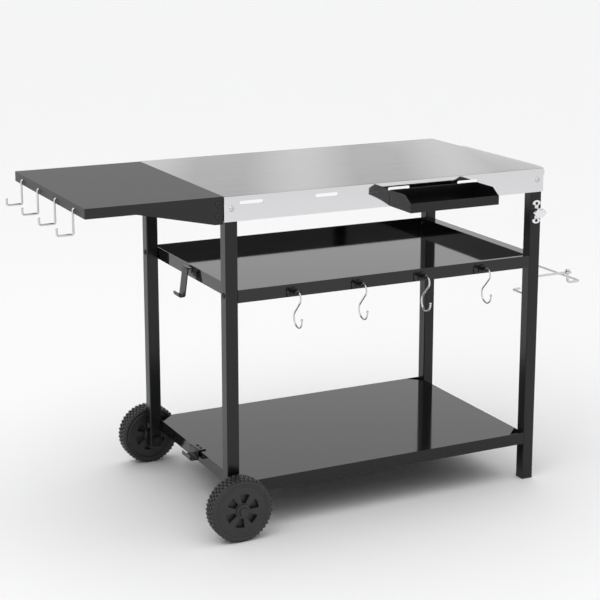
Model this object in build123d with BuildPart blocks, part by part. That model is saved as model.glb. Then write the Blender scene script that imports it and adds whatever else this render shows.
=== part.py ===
"""Outdoor cart: stainless table top on square-tube legs, a middle tray, a bottom shelf, a bolted side shelf
with wire hooks, a hung spice tray, hanging S-hooks, a towel bar, a push handle and two wheels.

Millimetres. +X runs along the table to the handle, -Y is the front, +Z is up, and the floor is Z = 0.
The origin is under the middle of the whole cart's outline.
"""
import os
from math import asin, degrees

from build123d import *

os.makedirs("parts", exist_ok=True)

# Main sizes
height = 800.0
top_length = 851.0
top_depth = 530.0
apron_height = 58.0
sheet = 1.5
hem_height = 10.0
top_corner = 2.5
leg_size = 30.0
leg_wall = 1.5
leg_inset = 2.0 * sheet

# Slots in the front apron
slot_count = 4
slot_length = 58.0
slot_height = 8.0
slot_pitch = 188.5
slot_first = 66.5
slot_drop = 16.5

# Middle tray and bottom shelf
tray_bottom = 553.0
wall_height = 30.0
tray_return = 10.0
tray_lip = 28.0
lip_gap = 0.5
shelf_bottom = 95.0
shelf_corner = 42.0

# Side shelf
side_length = 320.0
side_inset = 4.65
side_gap = 0.5
rim_height = 23.0
gusset_height = 63.0
gusset_run = 184.0
gusset_flat = 20.0
side_bolt_in = 12.0
side_bolt_drops = (16.5, 44.5)
bracket_sheet = 2.5
bracket_reach = 24.0
bracket_leaf = 28.0
bracket_drop = 4.0
bracket_height = 52.0
bracket_bolt_in = 12.0

# Wire hooks on the side shelf's rim
rim_hook_count = 4
rim_hook_pitch = 128.5
rim_hook_wire = 5.0
rim_hook_bend = 4.0
rim_hook_drop = 11.0
rim_hook_fall = 57.0
rim_hook_reach = 44.0
rim_hook_turn_up = 17.0
rim_hook_tail = 10.0
wire_off_face = 0.3

# Hanging hooks under the middle tray's front wall
s_hook_count = 4
s_hook_first = 171.5
s_hook_pitch = 169.5
tongue_width = 19.0
tongue_length = 26.0
tongue_sheet = 2.0
tongue_hole = 11.0
tongue_hole_out = 14.5
tongue_rise = 12.0
tongue_corner = 4.0
ear_above = 11.0
ear_below = 8.0
s_wire = 4.0
s_upper = 14.5
s_lower = 20.5
s_spread = 50.0
s_upper_back = 205.0
s_lower_end = 5.0
s_tip = 3.0
hang_gap = 0.3

# Spice tray
spice_sheet = 1.2
spice_width = 238.0
spice_depth = 98.0
spice_height = 38.0
spice_front = 21.0
spice_level = 72.0
spice_gap = 0.3
spice_tab_width = 40.0
spice_lip = 5.0

# Handle
handle_tube = 28.0
handle_wall = 2.0
handle_length = 400.0
handle_out = 44.0
handle_drop = 20.0
handle_front = 35.0
handle_bend = 22.0
handle_plug = 7.5

# Bottle opener
opener_width = 26.0
opener_lobe = 16.0
opener_plate = 3.0
opener_drop = 108.0
opener_screw_gap = 42.5
opener_hood_width = 40.0
opener_hood_reach = 18.0
opener_hood_height = 17.0
opener_hood_wall = 3.5
opener_corner = 4.0

# Gas-bottle hook and rest on the left
strap_sheet = 3.0
strap_width = 33.0
hook_plate_width = 60.0
hook_plate_height = 17.0
hook_screw_in = 11.5
hook_drop = 3.0
hook_out = 15.0
hook_fall = 70.0
hook_lean = 9.0
hook_foot = 15.0
hook_turn_up = 9.0
rest_width = 52.0
rest_on_top = 16.0
rest_fall = 22.0
rest_reach = 22.0
rest_turn_up = 10.0
strap_bend = 4.0
screw_pitch = 22.0

# Wheels and axle
wheel_radius = 76.0
tread_width = 44.0
shoulder_cut = 4.0
tread_blocks = 36
tread_cut = 3.5
tread_cut_width = 5.0
tread_groove = 3.0
sidewall_radius = 63.0
sidewall_dish = 2.0
window_count = 6
window_inner = 18.0
window_outer = 41.0
window_inner_width = 11.0
window_outer_width = 22.0
window_turn = 20.0
wheel_web = 10.0
hub_radius = 16.0
hub_proud = 2.0
axle_radius = 5.0
running_fit = 0.05
side_play = 0.3
washer_radius = 11.0
washer_length = 5.0
cap_radius = 11.0
cap_height = 5.0
cap_wall = 2.0
axle_nut_across = 16.0
axle_nut_height = 8.0
axle_end = 2.0
short_leg_end = 56.0

# Towel bar on the right
towel_wire = 6.0
towel_drop = 276.0
towel_arm = 98.0
towel_fall = 26.0
towel_step = 38.0
towel_bend = 9.0
towel_head = 5.0
towel_fit = 0.5
cloth_drop = 336.0
cloth_run = 113.0
cloth_turn = 24.0
cloth_off_leg = 10.0
wire_in_leg = 8.0

# Feet and plugs
foot_height = 4.0
plug_height = 14.0
plug_fit = 0.1

# Fasteners
bolt_radius = 3.0
bolt_head = 7.0
bolt_rise = 3.5
bolt_fit = 0.2
nut_across = 10.0
nut_height = 4.0
screw_radius = 2.0
screw_head = 4.0
screw_rise = 2.0
screw_length = 6.0
apron_bolt_drop = 28.0
tray_bolt_rise = 17.0
apron_bolt_length = 12.0
bolt_past_nut = 1.5
bolt_past_wall = 6.0

# Outline, worked out from the sizes above
hub_length = tread_width + 2.0 * hub_proud
hub_start = washer_length + side_play
cap_start = hub_start + hub_length + side_play
back_reach = -leg_inset + cap_start + cap_height
front_reach = spice_gap + spice_depth
left_reach = side_gap + side_length + rim_hook_reach
right_reach = -leg_inset + towel_arm + towel_step + towel_wire / 2.0

# Places of the table top
table_left = (left_reach - right_reach - top_length) / 2.0
table_right = table_left + top_length
table_front = (front_reach - back_reach - top_depth) / 2.0
table_back = table_front + top_depth
mid_x = (table_left + table_right) / 2.0
mid_y = (table_front + table_back) / 2.0

# Legs: outer faces, inner faces and centres
frame_left = table_left + leg_inset
frame_right = table_right - leg_inset
frame_front = table_front + leg_inset
frame_back = table_back - leg_inset
bay_left = frame_left + leg_size
bay_right = frame_right - leg_size
bay_length = bay_right - bay_left
frame_depth = frame_back - frame_front
leg_x = {"left": frame_left + leg_size / 2.0, "right": frame_right - leg_size / 2.0}
leg_y = {"front": frame_front + leg_size / 2.0, "back": frame_back - leg_size / 2.0}
leg_top = height - sheet
leg_foot = {"left": short_leg_end, "right": foot_height}
axle_z = wheel_radius
axle_x = leg_x["left"]

low = (Align.CENTER, Align.CENTER, Align.MIN)
high = (Align.CENTER, Align.CENTER, Align.MAX)


def facing_front(y):
    """Plane square to Y, its normal towards the front."""
    return Plane.XZ.offset(-y)


def facing_back(y):
    """Plane square to Y, its normal towards the back."""
    return Plane(origin=(0, y, 0), x_dir=(1, 0, 0), z_dir=(0, 1, 0))


def facing_right(x):
    """Plane square to X, its normal towards the right."""
    return Plane.YZ.offset(x)


def facing_left(x):
    """Plane square to X, its normal towards the left."""
    return Plane(origin=(x, 0, 0), x_dir=(0, 1, 0), z_dir=(-1, 0, 0))


def seat(plane, x, y, z):
    """Place on a plane, level with the given point, facing as the plane does."""
    level = plane.to_local_coords(Vector(x, y, z))
    return plane.location * Location((level.X, level.Y, 0))


def keep(piece, name):
    """Label a finished piece and write it."""
    piece.part.label = name
    export_step(piece.part, f"parts/{name}.step")


def button_bolts(seats, shank):
    """Domed bolts whose heads sit on the seats."""
    with BuildPart() as group:
        with Locations(*seats):
            Cone(bolt_head, bolt_head * 0.6, bolt_rise, align=low)
            Cylinder(bolt_radius, shank, align=high)
    return group


def hex_nuts(seats, bore, across=nut_across, rise=nut_height):
    """Hexagon nuts whose faces lie on the seats."""
    with BuildPart() as group:
        for place in seats:
            with BuildSketch(Plane(place)):
                RegularPolygon(across / 2.0, 6, major_radius=False)
                Circle(bore, mode=Mode.SUBTRACT)
            extrude(amount=rise)
    return group


def small_screws(seats):
    """Pan-headed screws whose heads sit on the seats."""
    with BuildPart() as group:
        with Locations(*seats):
            Cone(screw_head, screw_head * 0.7, screw_rise, align=low)
            Cylinder(screw_radius, screw_length, align=high)
    return group


def drill(seats, radius, depth):
    """Holes into the seats' faces, for use inside a part block."""
    with Locations(*seats):
        Cylinder(radius, depth, align=(Align.CENTER, Align.CENTER, Align.CENTER), mode=Mode.SUBTRACT)


def bent_strip(plane, points, bend, thick, width):
    """Strip of sheet folded along straight runs, for use inside a part block."""
    with BuildSketch(plane) as outline:
        with BuildLine():
            FilletPolyline(*points, radius=bend)
        trace(line_width=thick)
    extrude(outline.sketch, amount=width)


def bent_wire(plane, points, bend, size):
    """Round wire along straight runs joined by equal bends."""
    with BuildPart() as wire:
        with BuildLine(plane) as path:
            FilletPolyline(*points, radius=bend)
        with BuildSketch(Plane(origin=path.line @ 0, z_dir=path.line % 0)):
            Circle(size / 2.0)
        sweep(path=path.line)
    return wire


# Bolt seats that several pieces share
sides = ("left", "right")
ends = ("front", "back")
corners = [(side, end) for side in sides for end in ends]
apron_plane = {"front": facing_front(table_front), "back": facing_back(table_back)}
apron_bolt_z = height - apron_bolt_drop
apron_seats = [seat(apron_plane[end], leg_x[side], 0, apron_bolt_z) for side, end in corners]
outer_plane = {"left": facing_left(frame_left), "right": facing_right(frame_right)}
tray_bolt_z = tray_bottom + tray_bolt_rise
shelf_bolt_z = shelf_bottom + wall_height / 2.0
tray_seats = [seat(outer_plane[side], 0, leg_y[end], tray_bolt_z) for side, end in corners]
shelf_seats = [seat(outer_plane[side], 0, leg_y[end], shelf_bolt_z) for side, end in corners]
nut_plane = {"left": facing_right(bay_left + sheet), "right": facing_left(bay_right - sheet)}
tray_nut_seats = [seat(nut_plane[side], 0, leg_y[end], tray_bolt_z) for side, end in corners]
shelf_nut_seats = [seat(nut_plane[side], 0, leg_y[end], shelf_bolt_z) for side, end in corners]
through_leg = leg_size + sheet + nut_height + bolt_past_nut

# Side bracket bolts into the left legs
bracket_bolt_zs = (height - bracket_drop - bracket_bolt_in,
                   height - bracket_drop - bracket_height + bracket_bolt_in)
bracket_face = table_left - bracket_sheet
bracket_seats = [seat(facing_left(bracket_face), 0, leg_y[end], z) for end in ends for z in bracket_bolt_zs]

# Screw seats of the bottle opener
opener_z = height - opener_drop
opener_screw_zs = [opener_z + d * opener_screw_gap / 2.0 for d in (1, -1)]
opener_front = facing_front(frame_front - opener_plate)
opener_seats = [seat(opener_front, leg_x["right"], 0, z) for z in opener_screw_zs]

# Screw seats of the tongues on the middle tray's front wall
tongue_xs = [table_left + s_hook_first + i * s_hook_pitch for i in range(s_hook_count)]
tongue_z = tray_bottom + tongue_rise
tongue_face = facing_front(frame_front - tongue_sheet)
tongue_screw_z = tongue_z + ear_above - screw_head - wire_off_face
tongue_seats = [seat(tongue_face, x, 0, tongue_screw_z) for x in tongue_xs]

# Screw seats of the gas-bottle hook and rest
hook_plate_z = tray_bottom + tray_bolt_rise
hook_screw_y = mid_y - hook_plate_width / 2.0 + hook_screw_in
tank_seats = [seat(facing_left(bay_left - strap_sheet), 0, hook_screw_y + d * screw_pitch, hook_plate_z)
              for d in (0, 1)]
rest_z = shelf_bottom + wall_height + strap_sheet / 2.0
rest_x = bay_left - strap_bend
rest_plane = Plane.XY.offset(rest_z + strap_sheet / 2.0)
rest_seats = [seat(rest_plane, bay_left + rest_on_top / 2.0, mid_y + d * screw_pitch / 2.0, 0)
              for d in (1, -1)]

# Bolt seats of the handle
handle_z = height - handle_drop
handle_ys = (table_front + handle_front + handle_tube / 2.0,
             table_front + handle_front + handle_length - handle_tube / 2.0)
handle_seats = [seat(facing_left(table_right - sheet), 0, y, handle_z) for y in handle_ys]

# Table top: a folded sheet with hemmed aprons and a row of slots
slot_xs = [table_left + slot_first + i * slot_pitch for i in range(slot_count)]
slot_z = height - slot_drop
with BuildPart() as table_top:
    with BuildSketch(Plane.XY.offset(height - apron_height)):
        with Locations((mid_x, mid_y)):
            Rectangle(top_length, top_depth)
    extrude(amount=apron_height)
    fillet(table_top.edges().filter_by(Axis.Z), top_corner)
    offset(amount=-sheet, openings=table_top.faces().sort_by(Axis.Z)[0])
    with BuildSketch(Plane.XY.offset(height - apron_height)):
        with Locations((mid_x, mid_y)):
            Rectangle(top_length - sheet, top_depth - sheet)
            Rectangle(top_length - 2.0 * leg_inset, top_depth - 2.0 * leg_inset, mode=Mode.SUBTRACT)
    extrude(amount=hem_height)
    with BuildSketch(facing_front(table_front)):
        with Locations(*[(x, slot_z) for x in slot_xs]):
            SlotOverall(slot_length, slot_height)
    extrude(amount=-leg_inset, mode=Mode.SUBTRACT)
    drill(apron_seats, bolt_radius + bolt_fit, 2.0 * leg_inset)
    drill(bracket_seats, bolt_radius + bolt_fit, 2.0 * (bracket_sheet + leg_inset))
    drill(handle_seats, bolt_radius + bolt_fit, 2.0 * leg_inset)
keep(table_top, "table_top")

# Legs: square tube, the left pair short because the wheels carry that end
towel_z = height - towel_drop
cloth_z = height - cloth_drop
for side, end in corners:
    with BuildPart() as leg:
        with BuildSketch(Plane.XY.offset(leg_foot[side])):
            with Locations((leg_x[side], leg_y[end])):
                RectangleRounded(leg_size, leg_size, top_corner)
                Rectangle(leg_size - 2.0 * leg_wall, leg_size - 2.0 * leg_wall, mode=Mode.SUBTRACT)
        extrude(amount=leg_top - leg_foot[side])
        drill([seat(apron_plane[end], leg_x[side], 0, apron_bolt_z)], bolt_radius + bolt_fit,
              2.0 * (leg_inset + leg_wall) + 1.0)
        bolt_places = [seat(outer_plane[side], 0, leg_y[end], z) for z in (tray_bolt_z, shelf_bolt_z)]
        drill(bolt_places, bolt_radius + bolt_fit, 2.0 * leg_size + 1.0)
        if side == "left":
            drill([seat(apron_plane[end], axle_x, 0, axle_z)], axle_radius + plug_fit,
                  2.0 * (leg_inset + leg_size) + 1.0)
            drill([s for s in bracket_seats if abs(s.position.Y - leg_y[end]) < leg_size],
                  bolt_radius + bolt_fit, 2.0 * (bracket_sheet + leg_inset + leg_wall) + 1.0)
        else:
            drill([seat(outer_plane[side], 0, leg_y[end], towel_z)], towel_wire / 2.0 + plug_fit,
                  2.0 * leg_wall + 1.0)
        if (side, end) == ("right", "front"):
            drill([seat(outer_plane[side], 0, leg_y[end], cloth_z)], towel_wire / 2.0 + plug_fit,
                  2.0 * leg_wall + 1.0)
            drill(opener_seats, screw_radius + bolt_fit, 2.0 * (opener_plate + leg_wall) + 1.0)
    keep(leg, f"leg_{end}_{side}")

# Middle tray: open box between the legs, with a turned-in front edge and a lip on the handle side
with BuildPart() as middle_tray:
    with BuildSketch(Plane.XY.offset(tray_bottom)):
        with Locations((mid_x, mid_y)):
            Rectangle(bay_length, frame_depth)
    extrude(amount=wall_height)
    offset(amount=-sheet, openings=middle_tray.faces().sort_by(Axis.Z)[-1])
    with BuildSketch(Plane.XY.offset(tray_bottom + wall_height)):
        with Locations((mid_x, frame_front + tray_return / 2.0)):
            Rectangle(bay_length, tray_return)
        with Locations((bay_right + (tray_lip - sheet) / 2.0, mid_y)):
            Rectangle(tray_lip + sheet, frame_depth - 2.0 * (leg_size + lip_gap))
    extrude(amount=-sheet)
    drill(tray_seats, bolt_radius + bolt_fit, 2.0 * (leg_size + sheet) + 1.0)
    drill(tongue_seats, screw_radius + bolt_fit, 2.0 * (tongue_sheet + sheet) + 1.0)
    drill(tank_seats, screw_radius + bolt_fit, 2.0 * (strap_sheet + sheet) + 1.0)
keep(middle_tray, "middle_tray")

# Bottom shelf: turned-down flanges all round, the plate cut off square to its diagonals at the corners
shelf_top = shelf_bottom + wall_height
with BuildPart() as bottom_shelf:
    with BuildSketch(Plane.XY.offset(shelf_bottom)):
        with Locations((mid_x, mid_y)):
            Rectangle(bay_length, frame_depth)
            Rectangle(bay_length - 2.0 * sheet, frame_depth - 2.0 * sheet, mode=Mode.SUBTRACT)
    extrude(amount=wall_height)
    with BuildSketch(Plane.XY.offset(shelf_top)) as plate:
        with Locations((mid_x, mid_y)):
            Rectangle(bay_length, frame_depth)
        chamfer(plate.vertices(), shelf_corner)
    extrude(amount=-sheet)
    drill(shelf_seats, bolt_radius + bolt_fit, 2.0 * (leg_size + sheet) + 1.0)
    drill(rest_seats, screw_radius + bolt_fit, 2.0 * (strap_sheet + sheet) + 1.0)
keep(bottom_shelf, "bottom_shelf")

# Side shelf: one folded sheet whose front and back flanges deepen into gussets at the table
side_right = table_left - side_gap
side_left = side_right - side_length
side_front = table_front + side_inset
side_back = table_back - side_inset
gusset_start = table_left - gusset_flat - gusset_run
hook_ys = [mid_y + (i - (rim_hook_count - 1) / 2.0) * rim_hook_pitch for i in range(rim_hook_count)]
hook_z = height - rim_hook_drop
hook_seats = [seat(facing_right(side_left + sheet), 0, y, hook_z) for y in hook_ys]
flange_plane = {"front": facing_front(side_front), "back": facing_back(side_back)}
side_bolt_x = table_left - side_bolt_in
side_bolt_places = [(end, height - drop) for end in ends for drop in side_bolt_drops]
side_seats = [seat(flange_plane[end], side_bolt_x, 0, z) for end, z in side_bolt_places]
with BuildPart() as side_shelf:
    with BuildSketch(facing_front(side_front)):
        Polygon(
            (side_left, height), (side_right, height), (side_right, height - gusset_height),
            (table_left - gusset_flat, height - gusset_height), (gusset_start, height - rim_height),
            (side_left, height - rim_height), align=None)
    extrude(amount=side_front - side_back)
    fillet(side_shelf.edges().filter_by(Axis.Z).group_by(Axis.X)[0], top_corner)
    under = side_shelf.faces().filter_by(lambda face: face.normal_at().Z < -0.5)
    offset(amount=-sheet, openings=[*under, side_shelf.faces().sort_by(Axis.X)[-1]])
    drill(side_seats, bolt_radius + bolt_fit, 4.0 * sheet)
    drill(hook_seats, rim_hook_wire / 2.0 + bolt_fit, 4.0 * sheet)
keep(side_shelf, "side_shelf")

# Angle brackets inside the flanges, bolted through the apron into the left legs
inward = {"front": 1.0, "back": -1.0}
flange_inner = {"front": side_front + sheet, "back": side_back - sheet}
for end in ends:
    with BuildPart() as side_bracket:
        with BuildSketch(Plane.XY.offset(height - bracket_drop - bracket_height)):
            with Locations((table_left - bracket_reach / 2.0,
                            flange_inner[end] + inward[end] * bracket_sheet / 2.0)):
                Rectangle(bracket_reach, bracket_sheet)
            with Locations((bracket_face + bracket_sheet / 2.0,
                            flange_inner[end] + inward[end] * bracket_leaf / 2.0)):
                Rectangle(bracket_sheet, bracket_leaf)
        extrude(amount=bracket_height)
        near = [s for s in bracket_seats if abs(s.position.Y - leg_y[end]) < leg_size]
        drill(near, bolt_radius + bolt_fit, 4.0 * bracket_sheet)
        near = [s for s in side_seats if abs(s.position.Y - leg_y[end]) < leg_size]
        drill(near, bolt_radius + bolt_fit, 4.0 * (sheet + bracket_sheet))
    keep(side_bracket, f"side_bracket_{end}")

side_nut_plane = {"front": facing_back(flange_inner["front"] + bracket_sheet),
                  "back": facing_front(flange_inner["back"] - bracket_sheet)}
side_nut_seats = [seat(side_nut_plane[end], side_bolt_x, 0, z) for end, z in side_bolt_places]
keep(button_bolts(side_seats, sheet + bracket_sheet + nut_height + bolt_past_nut), "side_shelf_bolts")
keep(hex_nuts(side_nut_seats, bolt_radius + bolt_fit), "side_shelf_nuts")
keep(button_bolts(bracket_seats, bracket_sheet + leg_inset + leg_wall + bolt_past_wall), "bracket_bolts")

# Wire hooks through the side shelf's rim, each held by a nut inside it
hook_x = side_left - rim_hook_bend - wire_off_face
hook_low = hook_z - rim_hook_fall
hook_tip_x = side_left - rim_hook_reach + rim_hook_wire / 2.0
for i, y in enumerate(hook_ys, 1):
    rim_hook = bent_wire(
        facing_front(y),
        [(side_left + rim_hook_tail, hook_z), (hook_x, hook_z), (hook_x, hook_low), (hook_tip_x, hook_low),
         (hook_tip_x, hook_low + rim_hook_turn_up)],
        rim_hook_bend, rim_hook_wire)
    keep(rim_hook, f"rim_hook_{i}")
keep(hex_nuts(hook_seats, rim_hook_wire / 2.0 + bolt_fit), "rim_hook_nuts")

# Tongues screwed to the middle tray's front wall
for i, x in enumerate(tongue_xs, 1):
    with BuildPart() as hook_bracket:
        with BuildSketch(facing_front(frame_front)):
            with Locations((x, tongue_z + ear_above - tongue_width / 2.0)):
                Circle(tongue_width / 2.0)
            with Locations((x, tongue_z - ear_below)):
                Rectangle(tongue_width, ear_below + ear_above - tongue_width / 2.0,
                          align=(Align.CENTER, Align.MIN))
        extrude(amount=tongue_sheet)
        with BuildSketch(Plane.XY.offset(tongue_z)) as tongue:
            with Locations((x, frame_front)):
                Rectangle(tongue_width, tongue_length, align=(Align.CENTER, Align.MAX))
            fillet(tongue.vertices().group_by(Axis.Y)[0], tongue_corner)
            with Locations((x, frame_front - tongue_hole_out)):
                Circle(tongue_hole / 2.0, mode=Mode.SUBTRACT)
        extrude(amount=tongue_sheet)
        drill([tongue_seats[i - 1]], screw_radius + bolt_fit, 4.0 * tongue_sheet)
    keep(hook_bracket, f"hook_bracket_{i}")
keep(small_screws(tongue_seats), "hook_bracket_screws")

# S-hooks: each upper loop hangs on the strip of tongue in front of the hole
tongue_margin = tongue_length - tongue_hole_out - tongue_hole / 2.0
loop_out = tongue_length - tongue_margin / 2.0
loop_inside = s_upper - s_wire / 2.0 - hang_gap
loop_z = tongue_z + tongue_sheet - (loop_inside ** 2 - (tongue_margin / 2.0) ** 2) ** 0.5
lean = degrees(asin((s_upper + s_lower) / s_spread))
for i, x in enumerate(tongue_xs, 1):
    hook_plane = Plane(origin=(x, frame_front - loop_out, loop_z), x_dir=(0, -1, 0), z_dir=(-1, 0, 0))
    with BuildPart() as s_hook:
        with BuildLine(hook_plane) as path:
            upper = CenterArc((0, 0), s_upper, s_upper_back, -s_upper_back - lean)
            lower = CenterArc((0, -s_spread), s_lower, 180.0 - lean, 180.0 + lean + s_lower_end)
            Line(upper @ 1, lower @ 0)
        with BuildSketch(Plane(origin=path.line @ 0, z_dir=path.line % 0)):
            Circle(s_wire / 2.0)
        sweep(path=path.line)
        with Locations(path.line @ 1):
            Sphere(s_tip)
    keep(s_hook, f"s_hook_{i}")

# Spice tray: open box with sloping side tops, hung by two tabs in the apron's slots
spice_back = table_front - spice_gap
spice_top = slot_z - slot_height / 2.0 + spice_gap + spice_sheet
spice_x = (slot_xs[-1] + slot_xs[-2]) / 2.0
lip_y = table_front + sheet + spice_gap + spice_sheet / 2.0
with BuildPart() as spice_tray:
    with BuildSketch(facing_right(spice_x - spice_width / 2.0)):
        Polygon(
            (spice_back, spice_top), (spice_back - spice_level, spice_top),
            (spice_back - spice_depth, spice_top - spice_height + spice_front),
            (spice_back - spice_depth, spice_top - spice_height), (spice_back, spice_top - spice_height),
            align=None)
    extrude(amount=spice_width)
    above = spice_tray.faces().filter_by(lambda face: face.normal_at().Z > 0.2)
    offset(amount=-spice_sheet, openings=above)
    for x in slot_xs[-2:]:
        bent_strip(
            facing_right(x - spice_tab_width / 2.0),
            [(spice_back - spice_sheet / 2.0, spice_top - spice_sheet / 2.0),
             (lip_y, spice_top - spice_sheet / 2.0), (lip_y, spice_top - spice_sheet - spice_lip)],
            spice_sheet, spice_sheet, spice_tab_width)
keep(spice_tray, "spice_tray")

# Push handle: bent tube whose plugged ends are bolted from inside the apron
handle_x = table_right + handle_out - handle_tube / 2.0
with BuildPart() as handle:
    with BuildLine(Plane.XY.offset(handle_z)) as path:
        FilletPolyline(
            (table_right, handle_ys[0]), (handle_x, handle_ys[0]), (handle_x, handle_ys[1]),
            (table_right, handle_ys[1]), radius=handle_bend)
    with BuildSketch(Plane(origin=path.line @ 0, z_dir=path.line % 0)):
        Circle(handle_tube / 2.0)
        Circle(handle_tube / 2.0 - handle_wall, mode=Mode.SUBTRACT)
    sweep(path=path.line)
keep(handle, "handle")
with BuildPart() as handle_plugs:
    with Locations(*[seat(facing_right(table_right), 0, y, handle_z) for y in handle_ys]):
        Cylinder(handle_tube / 2.0 - handle_wall - plug_fit, handle_plug, align=low)
        Cylinder(bolt_radius + bolt_fit, handle_plug, align=low, mode=Mode.SUBTRACT)
keep(handle_plugs, "handle_plugs")
keep(button_bolts(handle_seats, sheet + handle_plug - 2.0), "handle_bolts")

# Bottle opener: screwed plate with an arched hood, open below
with BuildPart() as bottle_opener:
    with BuildSketch(facing_front(frame_front)):
        with Locations((leg_x["right"], opener_z)):
            RectangleRounded(opener_width, opener_screw_gap - opener_lobe, opener_corner)
            Rectangle(opener_lobe, opener_screw_gap)
        with Locations(*[(leg_x["right"], z) for z in opener_screw_zs]):
            Circle(opener_lobe / 2.0)
    extrude(amount=opener_plate)
    with BuildSketch(Plane.XY.offset(opener_z - opener_hood_height / 2.0)):
        with Locations((leg_x["right"], frame_front - opener_plate)):
            Ellipse(opener_hood_width / 2.0, opener_hood_reach)
            Ellipse(opener_hood_width / 2.0 - opener_hood_wall, opener_hood_reach - opener_hood_wall,
                    mode=Mode.SUBTRACT)
            Rectangle(opener_hood_width, opener_hood_reach, align=(Align.CENTER, Align.MIN),
                      mode=Mode.SUBTRACT)
    extrude(amount=opener_hood_height)
    with BuildSketch(Plane.XY.offset(opener_z + opener_hood_height / 2.0)):
        with Locations((leg_x["right"], frame_front - opener_plate)):
            Ellipse(opener_hood_width / 2.0, opener_hood_reach)
            Rectangle(opener_hood_width, opener_hood_reach, align=(Align.CENTER, Align.MIN),
                      mode=Mode.SUBTRACT)
    extrude(amount=-opener_hood_wall)
    drill(opener_seats, screw_radius + bolt_fit, 4.0 * opener_plate)
keep(bottle_opener, "bottle_opener")
keep(small_screws(opener_seats), "opener_screws")

# Gas-bottle hook on the middle tray's left wall, and rest on the bottom shelf's left edge
strap_high = tray_bottom + wall_height - hook_drop - strap_sheet / 2.0
strap_low = strap_high - hook_fall + strap_sheet
foot_x = bay_left - hook_out - hook_lean
with BuildPart() as tank_hook:
    with BuildSketch(facing_left(bay_left)):
        with Locations((mid_y, -hook_plate_z)):
            Rectangle(hook_plate_width, hook_plate_height)
    extrude(amount=strap_sheet)
    bent_strip(
        facing_front(mid_y + hook_plate_width / 2.0),
        [(bay_left - strap_sheet / 2.0, hook_plate_z), (bay_left - strap_sheet / 2.0, strap_high),
         (bay_left - hook_out, strap_high), (foot_x, strap_low), (foot_x - hook_foot, strap_low),
         (foot_x - hook_foot, strap_low + hook_turn_up)],
        strap_bend, strap_sheet, strap_width)
    drill(tank_seats, screw_radius + bolt_fit, 4.0 * strap_sheet)
keep(tank_hook, "tank_hook")
with BuildPart() as tank_rest:
    bent_strip(
        facing_front(mid_y + rest_width / 2.0),
        [(bay_left + rest_on_top, rest_z), (rest_x, rest_z), (rest_x, rest_z - rest_fall),
         (rest_x - rest_reach, rest_z - rest_fall),
         (rest_x - rest_reach, rest_z - rest_fall + rest_turn_up)],
        strap_bend, strap_sheet, rest_width)
    drill(rest_seats, screw_radius + bolt_fit, 4.0 * strap_sheet)
keep(tank_rest, "tank_rest")
keep(small_screws(tank_seats + rest_seats), "tank_screws")

# Towel bar on two eyed arms, and a wire for cloths
eye_x = frame_right + towel_arm
eye_radius = towel_wire + towel_fit
for end in ends:
    with BuildPart() as towel_arm_wire:
        with Locations(seat(outer_plane["right"], 0, leg_y[end], towel_z)):
            Cylinder(towel_wire / 2.0, wire_in_leg, align=high)
            Cylinder(towel_wire / 2.0, towel_arm - eye_radius, align=low)
        with Locations((eye_x, leg_y[end], towel_z)):
            Torus(eye_radius, towel_wire / 2.0)
    keep(towel_arm_wire, f"towel_arm_{end}")

head_z = towel_z + towel_wire / 2.0 + hang_gap
bar_z = towel_z - towel_fall
bar_x = eye_x + towel_step
with BuildPart() as towel_bar:
    with BuildLine() as path:
        FilletPolyline(
            (eye_x, leg_y["front"], head_z + towel_head / 2.0), (eye_x, leg_y["front"], bar_z),
            (bar_x, leg_y["front"], bar_z), (bar_x, leg_y["back"], bar_z),
            (eye_x, leg_y["back"], bar_z), (eye_x, leg_y["back"], head_z + towel_head / 2.0),
            radius=towel_bend)
    with BuildSketch(Plane(origin=path.line @ 0, z_dir=path.line % 0)):
        Circle(towel_wire / 2.0)
    sweep(path=path.line)
    with Locations(*[(eye_x, leg_y[end], head_z) for end in ends]):
        Cylinder(eye_radius, towel_head, align=low)
keep(towel_bar, "towel_bar")

cloth_x = frame_right + cloth_off_leg
cloth_y = leg_y["front"] + cloth_run
cloth_hook = bent_wire(
    Plane.XY.offset(cloth_z),
    [(frame_right - wire_in_leg, leg_y["front"]), (cloth_x, leg_y["front"]), (cloth_x, cloth_y),
     (cloth_x + cloth_turn, cloth_y)],
    towel_bend, towel_wire)
keep(cloth_hook, "cloth_hook")

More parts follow.
